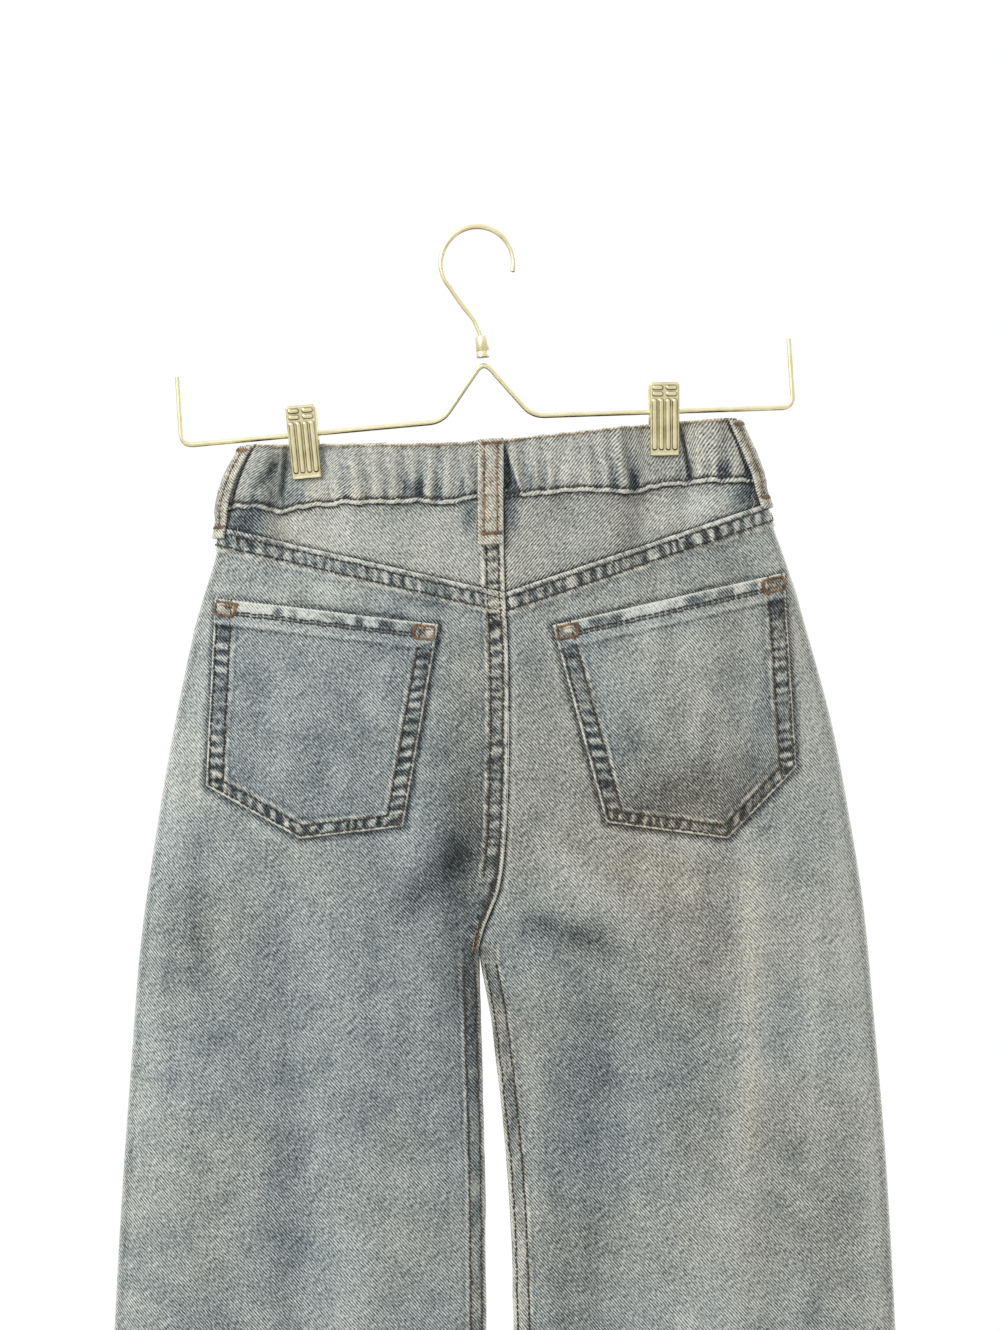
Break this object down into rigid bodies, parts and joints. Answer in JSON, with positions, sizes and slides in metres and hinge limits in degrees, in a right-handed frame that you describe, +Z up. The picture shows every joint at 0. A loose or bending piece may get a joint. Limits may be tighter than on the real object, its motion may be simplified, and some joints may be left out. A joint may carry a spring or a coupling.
{
  "type": "wide leg jeans on a clip hanger",
  "caption": "Light washed wide leg jeans with a gathered elastic back waist, a back yoke and patch pockets, hung flat from a wire clip hanger.",
  "frame": {"origin": "underside of the top of the hanger's hook, where a rail bears", "axes": "+Z up, +Y out of the back of the jeans, +X towards the wearer's left"},
  "size_m": [0.468, 0.0515, 1.0719],
  "materials": {
    "denim": "light stone washed blue twill, matte",
    "faded_denim": "faded cream-grey twill, matte",
    "pale_gold": "pale gold plated, glossy",
    "dark_steel": "dark, satin"
  },
  "bodies": {
    "root": {"back_left": "denim", "front_left": "denim", "yoke_left": "denim", "back_right": "denim", "front_right": "denim", "yoke_right": "denim", "pocket_facing_left": "denim", "pocket_facing_right": "denim", "waistband_back": "denim", "waistband_front_left": "denim", "waistband_front_right": "denim", "back_pocket_left": "denim", "back_pocket_right": "denim", "fly": "denim", "belt_loop_back": "faded_denim", "belt_loop_side_left": "faded_denim", "belt_loop_side_right": "faded_denim", "belt_loop_front_left": "faded_denim", "belt_loop_front_right": "faded_denim", "button": "dark_steel", "hanger_bar": "pale_gold", "hanger_hook": "pale_gold", "clip_left_back_jaw": "pale_gold", "clip_left_front_jaw": "pale_gold", "clip_left_spring": "dark_steel", "clip_right_back_jaw": "pale_gold", "clip_right_front_jaw": "pale_gold", "clip_right_spring": "dark_steel"}
  },
  "joints": []
}
